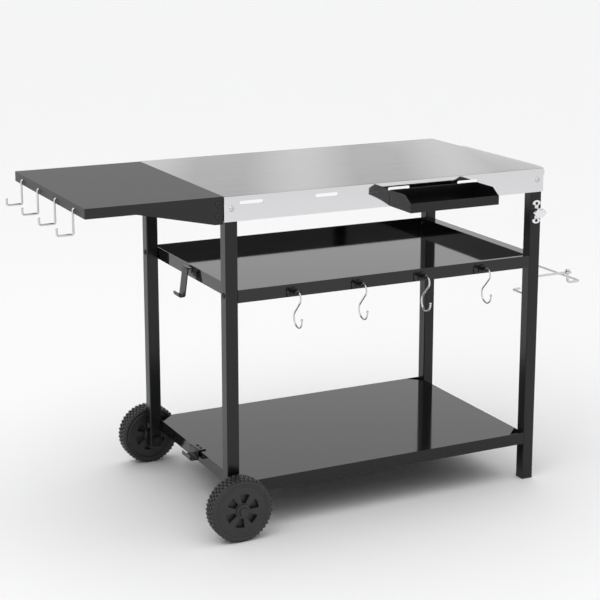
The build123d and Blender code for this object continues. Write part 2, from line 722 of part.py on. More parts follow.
# Wheels: moulded in one piece, with windows sunk from both faces and a blocky tread
wheel_plane = {"front": facing_front(frame_front - hub_start - hub_length / 2.0),
               "back": facing_back(frame_back + hub_start + hub_length / 2.0)}
window_depth = (tread_width - wheel_web) / 2.0
for end in ends:
    middle = Plane(seat(wheel_plane[end], axle_x, 0, axle_z))
    with BuildPart() as wheel:
        with BuildSketch(middle):
            Circle(wheel_radius)
        extrude(amount=tread_width / 2.0, both=True)
        chamfer(wheel.edges().filter_by(GeomType.CIRCLE), shoulder_cut)
        for face in (1.0, -1.0):
            with BuildSketch(middle.offset(face * tread_width / 2.0)):
                Circle(sidewall_radius)
            extrude(amount=-face * sidewall_dish, mode=Mode.SUBTRACT)
            with BuildSketch(middle.offset(face * tread_width / 2.0)):
                with PolarLocations(0, window_count, start_angle=window_turn):
                    Polygon(
                        (window_inner, window_inner_width / 2.0),
                        (window_outer, window_outer_width / 2.0),
                        (window_outer, -window_outer_width / 2.0),
                        (window_inner, -window_inner_width / 2.0), align=None)
            extrude(amount=-face * window_depth, mode=Mode.SUBTRACT)
            stagger = 90.0 * (1.0 + face) / tread_blocks
            with BuildSketch(middle.offset(face * tread_groove / 2.0)):
                with PolarLocations(wheel_radius, tread_blocks, start_angle=stagger):
                    Rectangle(2.0 * tread_cut, tread_cut_width)
            extrude(amount=face * tread_width, mode=Mode.SUBTRACT)
        with BuildSketch(middle):
            Circle(wheel_radius)
            Circle(wheel_radius - tread_cut, mode=Mode.SUBTRACT)
        extrude(amount=tread_groove / 2.0, both=True, mode=Mode.SUBTRACT)
        with BuildSketch(middle):
            Circle(hub_radius)
        extrude(amount=hub_length / 2.0, both=True)
        with BuildSketch(middle):
            Circle(axle_radius + running_fit)
        extrude(amount=hub_length, both=True, mode=Mode.SUBTRACT)
    keep(wheel, f"{end}_wheel")

# A stub axle through each left leg, nutted behind it, with a washer inside and a pressed cap outside its wheel
leg_face = {"front": facing_front(frame_front), "back": facing_back(frame_back)}
leg_behind = {"front": facing_back(frame_front + leg_size), "back": facing_front(frame_back - leg_size)}
axle_seats = [seat(leg_face[end], axle_x, 0, axle_z) for end in ends]
axle_nut_seats = [seat(leg_behind[end], axle_x, 0, axle_z) for end in ends]
with BuildPart() as stub_axles:
    with Locations(*axle_seats):
        Cylinder(axle_radius, cap_start + cap_height - cap_wall, align=low)
        Cylinder(axle_radius, leg_size + axle_nut_height + axle_end, align=high)
keep(stub_axles, "stub_axles")
keep(hex_nuts(axle_nut_seats, axle_radius + plug_fit, axle_nut_across, axle_nut_height), "axle_nuts")
with BuildPart() as axle_washers:
    with Locations(*axle_seats):
        Cylinder(washer_radius, washer_length, align=low)
        Cylinder(axle_radius + plug_fit, washer_length, align=low, mode=Mode.SUBTRACT)
keep(axle_washers, "axle_washers")
with BuildPart() as axle_caps:
    with Locations(*[place * Location((0, 0, cap_start)) for place in axle_seats]):
        Cone(cap_radius, cap_radius - cap_wall, cap_height, align=low)
        Cylinder(axle_radius + plug_fit, cap_height - cap_wall, align=low, mode=Mode.SUBTRACT)
keep(axle_caps, "axle_caps")

# Plastic feet under the right legs, and plugs in the ends of the left legs
plug_side = leg_size - 2.0 * (leg_wall + plug_fit)
for side, name in (("right", "feet"), ("left", "leg_plugs")):
    with BuildPart() as tips:
        with Locations(*[(leg_x[side], leg_y[end], leg_foot[side]) for end in ends]):
            Box(leg_size, leg_size, foot_height, align=high)
            Box(plug_side, plug_side, plug_height, align=low)
    keep(tips, name)

# Bolts of the frame
keep(button_bolts(apron_seats, apron_bolt_length), "apron_bolts")
keep(button_bolts(tray_seats, through_leg), "tray_bolts")
keep(hex_nuts(tray_nut_seats, bolt_radius + bolt_fit), "tray_nuts")
keep(button_bolts(shelf_seats, through_leg), "shelf_bolts")
keep(hex_nuts(shelf_nut_seats, bolt_radius + bolt_fit), "shelf_nuts")
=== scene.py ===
"""Outdoor cart: finishes, wheels, wires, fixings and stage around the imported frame, as an add-on."""

import math

import bmesh
import bpy
from bpy.props import FloatProperty, FloatVectorProperty, IntProperty, PointerProperty
from mathutils import Matrix, Vector


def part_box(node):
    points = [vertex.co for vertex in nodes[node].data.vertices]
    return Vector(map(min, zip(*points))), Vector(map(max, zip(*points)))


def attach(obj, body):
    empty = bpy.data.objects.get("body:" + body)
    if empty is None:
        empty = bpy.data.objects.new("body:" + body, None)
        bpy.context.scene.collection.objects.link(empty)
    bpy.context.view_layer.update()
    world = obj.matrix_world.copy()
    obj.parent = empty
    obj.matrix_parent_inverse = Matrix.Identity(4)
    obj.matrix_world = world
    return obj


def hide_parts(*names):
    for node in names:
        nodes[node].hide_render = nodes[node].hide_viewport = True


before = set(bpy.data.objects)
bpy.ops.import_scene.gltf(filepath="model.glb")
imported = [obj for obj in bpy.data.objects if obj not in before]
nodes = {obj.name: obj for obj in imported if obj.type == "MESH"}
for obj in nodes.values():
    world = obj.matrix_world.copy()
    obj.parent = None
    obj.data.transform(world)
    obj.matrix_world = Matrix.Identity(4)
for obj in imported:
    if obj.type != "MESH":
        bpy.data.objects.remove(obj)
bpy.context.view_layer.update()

bl_info = {
    "name": "Outdoor Cart",
    "version": (1, 0, 0),
    "blender": (4, 5, 0),
    "location": "View3D > Sidebar > Cart",
    "description": "Dresses the packed cart with its finishes, wheels, wires and fixings",
    "category": "Object",
}


class CartSizes(bpy.types.PropertyGroup):
    """Sizes of the pieces made here."""

    knob_count: IntProperty(
        name="Tread knobs", description="Knobs in one row round a tyre", default=44, min=12)
    knob_rows: IntProperty(
        name="Knob rows", description="Rows of knobs across the tread", default=4, min=2)
    knob_height: FloatProperty(
        name="Knob height", description="How far a knob stands on the tyre", default=0.0032, unit="LENGTH")
    window_depth: FloatProperty(
        name="Window depth", description="How deep the wheel's windows are sunk",
        default=0.010, unit="LENGTH")
    rim_wire: FloatProperty(
        name="Rim hook wire", description="Thickness of the hooks on the side shelf",
        default=0.005, unit="LENGTH")
    s_wire: FloatProperty(
        name="S-hook wire", description="Thickness of the hanging hooks", default=0.004, unit="LENGTH")
    towel_wire: FloatProperty(
        name="Towel wire", description="Thickness of the towel bar and its arms",
        default=0.006, unit="LENGTH")
    handle_tube: FloatProperty(
        name="Handle tube", description="Thickness of the push handle", default=0.028, unit="LENGTH")
    edge_round: FloatProperty(
        name="Edge rounding", description="Width of the rounding on sheet and caps",
        default=0.0011, unit="LENGTH")


class CartFinishes(bpy.types.PropertyGroup):
    """Colours of the finishes."""

    stainless: FloatVectorProperty(
        name="Stainless", description="Polished sheet of the table top", subtype="COLOR", size=3,
        default=(0.74, 0.74, 0.75))
    chrome: FloatVectorProperty(
        name="Chrome", description="Plated wire and fixings", subtype="COLOR", size=3,
        default=(0.62, 0.62, 0.63))
    coat: FloatVectorProperty(
        name="Powder coat", description="Black coating of the legs and trays", subtype="COLOR", size=3,
        default=(0.006, 0.006, 0.0065))
    plastic: FloatVectorProperty(
        name="Moulded plastic", description="Black plastic of the wheels and feet", subtype="COLOR", size=3,
        default=(0.020, 0.020, 0.021))
    floor: FloatVectorProperty(
        name="Floor", description="Pale studio floor and surroundings", subtype="COLOR", size=3,
        default=(0.965, 0.965, 0.968))


# Most of a noise's values lie between these two
NOISE_LOW, NOISE_HIGH = 0.3, 0.7
EVEN = (1.0, 1.0, 1.0)
# Spread of a finish's colour, detail and depth of its grain, and the shares its roughness runs between
METAL_SPREAD, METAL_DETAIL, METAL_DEPTH, METAL_ROUGH = 0.05, 4.0, 0.0002, (0.8, 1.25)
COAT_SPREAD, COAT_DETAIL, COAT_DEPTH, COAT_ROUGH = 0.2, 3.0, 0.0003, (0.85, 1.15)


def new_material(name):
    """Empty node material with its surface shader."""
    material = bpy.data.materials.new(name)
    material.use_nodes = True
    tree = material.node_tree
    return material, tree, tree.nodes["Principled BSDF"]


def shade(colour, share):
    """A colour times a share, with full alpha."""
    return [min(1.0, c * share) for c in colour[:3]] + [1.0]


def object_noise(tree, stretch, scale, detail):
    """Noise on the object's own coordinates, stretched along an axis."""
    place = tree.nodes.new("ShaderNodeTexCoord")
    mapping = tree.nodes.new("ShaderNodeMapping")
    mapping.inputs["Scale"].default_value = stretch
    noise = tree.nodes.new("ShaderNodeTexNoise")
    noise.inputs["Scale"].default_value = scale
    noise.inputs["Detail"].default_value = detail
    tree.links.new(place.outputs["Object"], mapping.inputs["Vector"])
    tree.links.new(mapping.outputs["Vector"], noise.inputs["Vector"])
    return noise.outputs["Fac"]


def ranged(tree, value, low, high, start=NOISE_LOW, stop=NOISE_HIGH):
    """A value that goes from low to high while the given one goes from start to stop."""
    node = tree.nodes.new("ShaderNodeMapRange")
    node.inputs["From Min"].default_value = start
    node.inputs["From Max"].default_value = stop
    node.inputs["To Min"].default_value = low
    node.inputs["To Max"].default_value = high
    tree.links.new(value, node.inputs["Value"])
    return node.outputs["Result"]


def combined(tree, operation, first, second):
    """One value made of two by a math operation."""
    node = tree.nodes.new("ShaderNodeMath")
    node.operation = operation
    tree.links.new(first, node.inputs[0])
    tree.links.new(second, node.inputs[1])
    return node.outputs["Value"]


def tinted(tree, shader, value, colour, spread):
    """Base colour that varies a little either side of the given one."""
    mix = tree.nodes.new("ShaderNodeMix")
    mix.data_type = "RGBA"
    mix.inputs["A"].default_value = shade(colour, 1.0 - spread)
    mix.inputs["B"].default_value = shade(colour, 1.0 + spread)
    tree.links.new(value, mix.inputs["Factor"])
    tree.links.new(mix.outputs["Result"], shader.inputs["Base Color"])


def uneven(tree, grain, rough, shares):
    """Roughness that follows the grain between two shares of the given one."""
    return ranged(tree, grain, rough * shares[0], rough * shares[1])


def bumped(tree, shader, value, strength, distance):
    """Fine relief from a texture's value."""
    bump = tree.nodes.new("ShaderNodeBump")
    bump.inputs["Strength"].default_value = strength
    bump.inputs["Distance"].default_value = distance
    tree.links.new(value, bump.inputs["Height"])
    tree.links.new(bump.outputs["Normal"], shader.inputs["Normal"])
    return bump


def metal_finish(name, colour, rough, stretch, relief):
    """Bare or plated metal with a directional grain."""
    material, tree, shader = new_material(name)
    grain = object_noise(tree, stretch, 1.0, METAL_DETAIL)
    tinted(tree, shader, grain, colour, METAL_SPREAD)
    tree.links.new(uneven(tree, grain, rough, METAL_ROUGH), shader.inputs["Roughness"])
    shader.inputs["Metallic"].default_value = 1.0
    if relief:
        bumped(tree, shader, grain, relief, METAL_DEPTH)
    return material


def painted_reflection_bands(tree, turn, scale, phase):
    """Painted reflection: broad soft bands across the object, turned about the vertical."""
    place = tree.nodes.new("ShaderNodeTexCoord")
    mapping = tree.nodes.new("ShaderNodeMapping")
    mapping.inputs["Rotation"].default_value = (0.0, 0.0, math.radians(turn))
    wave = tree.nodes.new("ShaderNodeTexWave")
    wave.inputs["Scale"].default_value = scale
    wave.inputs["Distortion"].default_value = 0.6
    wave.inputs["Detail"].default_value = 1.0
    wave.inputs["Phase Offset"].default_value = phase
    tree.links.new(place.outputs["Object"], mapping.inputs["Vector"])
    tree.links.new(mapping.outputs["Vector"], wave.inputs["Vector"])
    return place.outputs["Object"], wave.outputs["Fac"]


def bowed(tree, height, start, stop, depth):
    """Normal of a sheet that curves inwards below a level, more and more towards its lower edge."""
    fall = ranged(tree, height, 1.0, 0.0, start, stop)
    bow = tree.nodes.new("ShaderNodeBump")
    bow.invert = True
    bow.inputs["Strength"].default_value = 1.0
    bow.inputs["Distance"].default_value = depth
    tree.links.new(combined(tree, "MULTIPLY", fall, fall), bow.inputs["Height"])
    return bow.outputs["Normal"]


def table_finish(name, colour, rough, polish):
    """Brushed sheet with a brighter mirror polish on the folded aprons; its top is painted much darker than
    the aprons, with painted reflections as broad soft dark and pale bands and a painted highlight towards
    its right end.
    """
    # Shares of the colour in the painted reflection's dark and pale bands on the top, and on the aprons;
    # the top is painted darker than the aprons
    painted_dark_share, painted_pale_share, apron_share = 0.19, 0.53, 0.95
    # Depths below the top between which the aprons' polish gives way to brushing
    polish_below, brush_above = 0.0015, 0.0002
    # Length of the painted highlight at the top's right end, and how pale it starts and ends
    highlight_length, highlight_start, highlight_stop = 0.20, 0.2, 0.9
    # Strength of the brushing, and height and depth of the aprons' curve
    apron_relief, top_relief = 0.003, 0.05
    bow_height, bow_depth = 0.065, 0.0035
    brush_lines = (6.0, 900.0, 900.0)
    low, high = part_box("table_top")
    material, tree, shader = new_material(name)
    grain = object_noise(tree, brush_lines, 1.0, METAL_DETAIL)
    # Painted reflection on the top: soft dark and pale bands where reflections of the surroundings fall
    place, reflection_level = painted_reflection_bands(tree, turn=26.6, scale=0.817, phase=3.21)
    split = tree.nodes.new("ShaderNodeSeparateXYZ")
    tree.links.new(place, split.inputs["Vector"])
    top_face = ranged(tree, split.outputs["Z"], 0.0, 1.0, high[2] - polish_below, high[2] - brush_above)
    # Painted highlight: the top grows paler towards its right end
    painted_end_highlight = ranged(tree, split.outputs["X"], highlight_start, highlight_stop, high[0] - highlight_length, high[0])
    # Top's colour between the painted reflection's dark and pale bands
    sheet = tree.nodes.new("ShaderNodeMix")
    sheet.data_type = "RGBA"
    sheet.inputs["A"].default_value = shade(colour, painted_dark_share)
    sheet.inputs["B"].default_value = shade(colour, painted_pale_share)
    tree.links.new(combined(tree, "MAXIMUM", reflection_level, painted_end_highlight), sheet.inputs["Factor"])
    # Painted shade: the top takes the darker painted colour, the aprons a far paler share of the same sheet
    apron = tree.nodes.new("ShaderNodeMix")
    apron.data_type = "RGBA"
    apron.inputs["A"].default_value = shade(colour, apron_share)
    tree.links.new(top_face, apron.inputs["Factor"])
    tree.links.new(sheet.outputs["Result"], apron.inputs["B"])
    tree.links.new(apron.outputs["Result"], shader.inputs["Base Color"])
    gloss = tree.nodes.new("ShaderNodeMix")
    gloss.inputs["A"].default_value = polish
    tree.links.new(top_face, gloss.inputs["Factor"])
    tree.links.new(uneven(tree, grain, rough, METAL_ROUGH), gloss.inputs["B"])
    tree.links.new(gloss.outputs["Result"], shader.inputs["Roughness"])
    shader.inputs["Metallic"].default_value = 1.0
    brushing = bumped(tree, shader, grain, top_relief, METAL_DEPTH)
    tree.links.new(ranged(tree, top_face, apron_relief, top_relief, 0.0, 1.0), brushing.inputs["Strength"])
    bow = bowed(tree, split.outputs["Z"], low[2], low[2] + bow_height, bow_depth)
    tree.links.new(bow, brushing.inputs["Normal"])
    return material


def coat_finish(name, colour, rough, grain_scale, relief, ior=1.5):
    """Black coating or plastic with a fine even grain."""
    material, tree, shader = new_material(name)
    grain = object_noise(tree, EVEN, grain_scale, COAT_DETAIL)
    tinted(tree, shader, grain, colour, COAT_SPREAD)
    tree.links.new(uneven(tree, grain, rough, COAT_ROUGH), shader.inputs["Roughness"])
    shader.inputs["IOR"].default_value = ior
    bumped(tree, shader, grain, relief, COAT_DEPTH)
    return material


def finish_set(colours):
    """Every finish of the cart, by name."""
    coat, chrome, plastic = colours.coat, colours.chrome, colours.plastic
    dull_stainless = shade(colours.stainless, share=0.8)
    # Painted highlight: the opener's plated metal is a brighter copy of the chrome, standing in for its
    # bright reflections
    chrome_painted_brighter = shade(chrome, share=1.3)
    # How fine the grain is along X, Y and Z
    on_tube = (300.0, 8.0, 300.0)
    on_plate = (300.0, 300.0, 300.0)
    on_wire = (120.0, 120.0, 120.0)
    on_fixings = (400.0, 400.0, 400.0)
    return {
        # Brushed stainless whose top carries painted reflections, painted shade and a painted highlight
        "stainless": table_finish("brushed_stainless", colours.stainless, rough=0.20, polish=0.05),
        "tube": metal_finish("stainless_tube", dull_stainless, rough=0.14, stretch=on_tube, relief=0.03),
        "pressed": metal_finish("pressed_chrome_painted_bright", chrome_painted_brighter, rough=0.10, stretch=on_plate, relief=0.0),
        "chrome": metal_finish("chrome_wire", chrome, rough=0.08, stretch=on_wire, relief=0.0),
        "steel": metal_finish("bright_fixings", chrome, rough=0.16, stretch=on_fixings, relief=0.02),
        "satin": coat_finish(
            "satin_powder_coat", coat, rough=0.22, grain_scale=1400.0, relief=0.06, ior=1.42),
        "gloss": coat_finish("gloss_powder_coat", coat, rough=0.07, grain_scale=900.0, relief=0.02),
        "shelf": coat_finish(
            "shelf_powder_coat", coat, rough=0.07, grain_scale=900.0, relief=0.02, ior=1.42),
        "textured": coat_finish(
            "textured_powder_coat", coat, rough=0.44, grain_scale=1100.0, relief=0.12, ior=1.47),
        "plastic": coat_finish("moulded_black", plastic, rough=0.42, grain_scale=1600.0, relief=0.10),
        "oxide": coat_finish("black_fixings", coat, rough=0.30, grain_scale=1200.0, relief=0.05),
    }


NODE_FINISH = {
    "table_top": "stainless", "handle": "tube", "stub_axles": "oxide", "axle_nuts": "oxide",
    "axle_washers": "plastic", "axle_caps": "plastic", "feet": "plastic", "leg_plugs": "plastic",
    "handle_plugs": "plastic", "middle_tray": "gloss", "bottom_shelf": "shelf", "side_shelf": "textured",
    "spice_tray": "satin", "towel_bar": "chrome", "cloth_hook": "chrome", "bottle_opener": "pressed",
    "tank_hook": "satin", "tank_rest": "satin", "apron_bolts": "steel", "opener_screws": "oxide",
    "rim_hook_nuts": "steel", "handle_bolts": "steel", "tray_nuts": "steel", "shelf_nuts": "steel",
    "side_shelf_nuts": "steel", "bracket_bolts": "steel", "tray_bolts": "oxide", "shelf_bolts": "oxide",
    "side_shelf_bolts": "oxide", "hook_bracket_screws": "oxide", "tank_screws": "oxide",
    "front_wheel": "plastic", "back_wheel": "plastic",
}
GROUP_FINISH = (
    ("leg_", "satin"), ("hook_bracket_", "satin"), ("side_bracket_", "satin"), ("rim_hook_", "chrome"),
    ("s_hook_", "chrome"), ("towel_arm_", "chrome"),
)
ROUNDED_NODES = (
    "table_top", "side_shelf", "spice_tray", "tank_hook", "tank_rest", "side_bracket_front",
    "side_bracket_back", "feet", "leg_plugs", "axle_caps",
)
# Points nearer than this count as one
TOUCHING = 0.00001


def node_finish(name):
    """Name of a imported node's finish."""
    if name in NODE_FINISH:
        return NODE_FINISH[name]
    return next(finish for start, finish in GROUP_FINISH if name.startswith(start))


class CART_OT_finishes(bpy.types.Operator):
    """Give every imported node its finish, and sheet and caps their rounded edges"""

    bl_idname = "cart.finishes"
    bl_label = "Finishes"

    def execute(self, context):
        made = finish_set(context.scene.cart_finishes)
        for name, node in nodes.items():
            node.data.materials.clear()
            node.data.materials.append(made[node_finish(name)])
        for name in ROUNDED_NODES:
            weld = nodes[name].modifiers.new("join_faces", "WELD")
            weld.merge_threshold = TOUCHING
            rounding = nodes[name].modifiers.new("rounded_edges", "BEVEL")
            rounding.width = context.scene.cart_sizes.edge_round
            rounding.segments = 3
            rounding.limit_method = "ANGLE"
            rounding.angle_limit = math.radians(40.0)
        return {"FINISHED"}


MERGE_GAP = 0.000002
SHARP_ANGLE = math.radians(35.0)


def finished(shape, name, body, node):
    """Turn a shape into a piece that rides on a body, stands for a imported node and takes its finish."""
    bmesh.ops.remove_doubles(shape, verts=shape.verts, dist=MERGE_GAP)
    bmesh.ops.recalc_face_normals(shape, faces=shape.faces)
    for face in shape.faces:
        face.smooth = True
    for edge in shape.edges:
        edge.smooth = len(edge.link_faces) == 2 and edge.calc_face_angle() < SHARP_ANGLE
    mesh = bpy.data.meshes.new(name)
    shape.to_mesh(mesh)
    shape.free()
    mesh.materials.append(nodes[node].data.materials[0])
    piece = bpy.data.objects.new(name, mesh)
    bpy.context.scene.collection.objects.link(piece)
    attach(piece, body)
    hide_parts(node)


def middle(name):
    """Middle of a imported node's box."""
    low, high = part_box(name)
    return (Vector(low) + Vector(high)) / 2.0


def outline(shape, points):
    """Open chain of edges through points."""
    made = [shape.verts.new(point) for point in points]
    return made + [shape.edges.new(pair) for pair in zip(made, made[1:])]


def only(kind, geometry):
    """Elements of one kind from an operator's result."""
    return [part for part in geometry if isinstance(part, kind)]


def verts_of(edges):
    """Vertices of edges, each once."""
    return list(dict.fromkeys(vert for edge in edges for vert in edge.verts))


def edges_of(verts):
    """Edges at vertices, each once."""
    return list(dict.fromkeys(edge for vert in verts for edge in vert.link_edges))


def centre_of(verts):
    """Middle of some vertices."""
    return sum((vert.co for vert in verts), Vector()) / len(verts)


def scaled(shape, verts, shares, centre):
    """Draw vertices in or out about a point."""
    bmesh.ops.scale(shape, verts=verts, vec=shares, space=Matrix.Translation(-centre))


def turned(shape, chain, centre, axis, steps):
    """Turn a chain of edges a full round about an axis."""
    bmesh.ops.spin(
        shape, geom=chain, cent=centre, axis=axis, angle=2.0 * math.pi, steps=steps, use_merge=True)


def rounded(shape, edges, width, segments):
    """Bevel edges to a round."""
    return bmesh.ops.bevel(
        shape, geom=edges, offset=width, offset_type="OFFSET", affect="EDGES", segments=segments,
        profile=0.5, material=-1)


def extruded(shape, face, step):
    """Extrude a face by a step, and give the new end's vertices."""
    made = bmesh.ops.extrude_face_region(shape, geom=[face])["geom"]
    verts = only(bmesh.types.BMVert, made)
    bmesh.ops.translate(shape, verts=verts, vec=step)
    return verts


WIRE_SIDES, BEND_STEPS = 16, 8
# Rings of a wire's rounded end: how far each rises, in radii, and how far it draws in
DOME_RINGS = ((0.30, 0.92), (0.28, 0.68))


def start_ring(shape, place, along, radius, sides=WIRE_SIDES):
    """Ring of edges at a wire's start."""
    turn = along.to_track_quat("Z", "Y").to_matrix().to_4x4()
    ring = bmesh.ops.create_circle(
        shape, segments=sides, radius=radius, matrix=Matrix.Translation(place) @ turn)["verts"]
    return edges_of(ring)


def run_on(shape, ring, step):
    """Carry a ring of edges straight on."""
    made = bmesh.ops.extrude_edge_only(shape, edges=ring)["geom"]
    verts = only(bmesh.types.BMVert, made)
    bmesh.ops.translate(shape, verts=verts, vec=step)
    own = set(verts)
    return [edge for edge in only(bmesh.types.BMEdge, made) if own.issuperset(edge.verts)]


def bend_on(shape, ring, centre, axis, angle, steps):
    """Carry a ring of edges round a bend."""
    made = bmesh.ops.spin(
        shape, geom=verts_of(ring) + ring, cent=centre, axis=axis, angle=angle, steps=steps)["geom_last"]
    return only(bmesh.types.BMEdge, made)


def round_off(shape, ring, along, radius):
    """Close a wire's end with a low dome."""
    for rise, share in DOME_RINGS:
        ring = run_on(shape, ring, along * radius * rise)
        verts = verts_of(ring)
        scaled(shape, verts, (share, share, share), centre_of(verts))
    bmesh.ops.contextual_create(shape, geom=ring)


def bent_wire(shape, points, bend, radius):
    """Round wire along straight runs joined by equal bends, with rounded ends."""
    points = [Vector(point) for point in points]
    ways = [(b - a).normalized() for a, b in zip(points, points[1:])]
    dome = radius * sum(rise for rise, share in DOME_RINGS)
    here = points[0] + ways[0] * dome
    ring = start_ring(shape, here, ways[0], radius)
    first = ring
    for corner, way, after in zip(points[1:], ways, ways[1:]):
        angle = way.angle(after)
        cut = bend * math.tan(angle / 2.0)
        ring = run_on(shape, ring, corner - way * cut - here)
        axis = way.cross(after).normalized()
        centre = corner - way * cut + axis.cross(way) * bend
        ring = bend_on(shape, ring, centre, axis, angle, BEND_STEPS)
        here = corner + after * cut
    ring = run_on(shape, ring, points[-1] - ways[-1] * dome - here)
    round_off(shape, ring, ways[-1], radius)
    round_off(shape, first, -ways[0], radius)


class CART_OT_rim_hooks(bpy.types.Operator):
    """Bend the wire hooks on the side shelf's rim"""

    bl_idname = "cart.rim_hooks"
    bl_label = "Rim hooks"

    def execute(self, context):
        wire = context.scene.cart_sizes.rim_wire
        drop_back, turn_up, bend = 0.0143, 0.017, 0.004
        for name in [name for name in nodes if name.startswith("rim_hook_") and name != "rim_hook_nuts"]:
            low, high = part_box(name)
            y = middle(name).y
            top, foot, tip = high[2] - wire / 2.0, low[2] + wire / 2.0, low[0] + wire / 2.0
            back = high[0] - drop_back
            route = [
                (high[0], y, top), (back, y, top), (back, y, foot), (tip, y, foot),
                (tip, y, foot + turn_up)]
            shape = bmesh.new()
            bent_wire(shape, route, bend, wire / 2.0)
            finished(shape, f"bright_{name}", "frame", name)
        return {"FINISHED"}


class CART_OT_s_hooks(bpy.types.Operator):
    """Bend the hanging hooks under the middle tray"""

    bl_idname = "cart.s_hooks"
    bl_label = "S-hooks"

    def execute(self, context):
        wire = context.scene.cart_sizes.s_wire
        # Radii of the two loops, the distance between their middles and the radius of the tip's ball
        upper, lower, spread, tip = 0.0145, 0.0205, 0.050, 0.003
        back, end, loop_steps = math.radians(150.0), math.radians(5.0), 28
        lean = math.asin((upper + lower) / spread)
        across = Vector((1.0, 0.0, 0.0))

        def round_loop(centre, radius, angle):
            return centre + Vector((0.0, -math.cos(angle), math.sin(angle))) * radius

        for name in [name for name in nodes if name.startswith("s_hook_")]:
            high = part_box(name)[1]
            loop_y = high[1] - lower - wire / 2.0
            high_loop = Vector((middle(name).x, loop_y, high[2] - upper - wire / 2.0))
            low_loop = high_loop - Vector((0.0, 0.0, spread))
            shape = bmesh.new()
            start = round_loop(high_loop, upper, back)
            along = Vector((0.0, -math.sin(back), -math.cos(back)))
            ring = start_ring(shape, start, along, wire / 2.0)
            first = ring
            ring = bend_on(shape, ring, high_loop, across, back + lean, loop_steps)
            shank = round_loop(low_loop, lower, math.pi - lean) - round_loop(high_loop, upper, -lean)
            ring = run_on(shape, ring, shank)
            ring = bend_on(shape, ring, low_loop, -across, math.pi + lean + end, loop_steps)
            bmesh.ops.contextual_create(shape, geom=ring)
            round_off(shape, first, -along, wire / 2.0)
            ball = Matrix.Translation(round_loop(low_loop, lower, end))
            bmesh.ops.create_uvsphere(shape, u_segments=20, v_segments=12, radius=tip, matrix=ball)
            finished(shape, f"bright_{name}", name, name)
        return {"FINISHED"}


TOWEL_BEND, TOWEL_FIT = 0.009, 0.0005


def towel_arm(name, wire):
    """Straight arm from a leg to a round eye."""
    half, eye, eye_steps = wire / 2.0, wire + TOWEL_FIT, 36
    low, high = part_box(name)
    place = middle(name)
    centre = Vector((high[0] - eye - half, place.y, place.z))
    shape = bmesh.new()
    ring = start_ring(shape, Vector((low[0], place.y, place.z)), Vector((1.0, 0.0, 0.0)), half)
    bmesh.ops.contextual_create(shape, geom=ring)
    ring = run_on(shape, ring, Vector((centre.x - eye - low[0], 0.0, 0.0)))
    bmesh.ops.contextual_create(shape, geom=ring)
    loop = start_ring(shape, centre + Vector((eye, 0.0, 0.0)), Vector((0.0, 1.0, 0.0)), half)
    turned(shape, verts_of(loop) + loop, centre, (0.0, 0.0, 1.0), eye_steps)
    finished(shape, f"bright_{name}", "frame", name)


def towel_rail(wire):
    """Bar whose ends turn up through the eyes and are headed above them."""
    half, reach, head, head_steps = wire / 2.0, wire + TOWEL_FIT, 0.005, 28
    low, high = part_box("towel_bar")
    eye_x, bar_x = low[0] + reach, high[0] - half
    front, back = low[1] + reach, high[1] - reach
    bar_z, top = low[2] + half, high[2]
    end_z = top - head / 2.0
    shape = bmesh.new()
    route = [
        (eye_x, front, end_z), (eye_x, front, bar_z), (bar_x, front, bar_z), (bar_x, back, bar_z),
        (eye_x, back, bar_z), (eye_x, back, end_z)]
    bent_wire(shape, route, TOWEL_BEND, half)
    section = [
        (0.0, 0.0), (reach * 0.9, 0.0), (reach, 0.0006), (reach, 0.0032), (reach * 0.8, 0.0045),
        (0.0, head)]
    for y in (front, back):
        chain = outline(shape, [(eye_x + r, y, top - head + z) for r, z in section])
        turned(shape, chain, (eye_x, y, top), (0.0, 0.0, 1.0), head_steps)
    finished(shape, "bright_towel_bar", "frame", "towel_bar")


def cloth_hook(wire):
    """Wire for cloths that runs out from a leg, along the cart's side and out again."""
    half, tail = wire / 2.0, 0.024
    low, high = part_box("cloth_hook")
    z, run = middle("cloth_hook").z, high[0] - tail
    front, back = low[1] + half, high[1] - half
    shape = bmesh.new()
    bent_wire(
        shape, [(low[0], front, z), (run, front, z), (run, back, z), (high[0], back, z)], TOWEL_BEND, half)
    finished(shape, "bright_cloth_hook", "frame", "cloth_hook")


class CART_OT_towel_bar(bpy.types.Operator):
    """Bend the towel bar, its eyed arms and the cloth hook"""

    bl_idname = "cart.towel_bar"
    bl_label = "Towel bar"

    def execute(self, context):
        wire = context.scene.cart_sizes.towel_wire
        for name in ("towel_arm_front", "towel_arm_back"):
            towel_arm(name, wire)
        towel_rail(wire)
        cloth_hook(wire)
        return {"FINISHED"}


class CART_OT_handle(bpy.types.Operator):
    """Bend the push handle's tube"""

    bl_idname = "cart.handle"
    bl_label = "Push handle"

    def execute(self, context):
        half = context.scene.cart_sizes.handle_tube / 2.0
        wall, bend, sides, steps = 0.002, 0.022, 40, 16
        low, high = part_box("handle")
        z, out = middle("handle").z, high[0] - half
        front, back = low[1] + half, high[1] - half
        along = Vector((1.0, 0.0, 0.0))
        up = Vector((0.0, 0.0, 1.0))
        shape = bmesh.new()
        for radius in (half, half - wall):
            ring = start_ring(shape, Vector((low[0], front, z)), along, radius, sides)
            ring = run_on(shape, ring, along * (out - bend - low[0]))
            ring = bend_on(shape, ring, (out - bend, front + bend, z), up, math.pi / 2.0, steps)
            ring = run_on(shape, ring, Vector((0.0, back - front - 2.0 * bend, 0.0)))
            ring = bend_on(shape, ring, (out - bend, back - bend, z), up, math.pi / 2.0, steps)
            run_on(shape, ring, -along * (out - bend - low[0]))
        open_ends = [edge for edge in shape.edges if edge.is_boundary]
        for y in (front, back):
            pair = [edge for edge in open_ends if abs(edge.verts[0].co.y - y) < 2.0 * half]
            bmesh.ops.bridge_loops(shape, edges=pair)
        finished(shape, "push_handle", "frame", "handle")
        return {"FINISHED"}


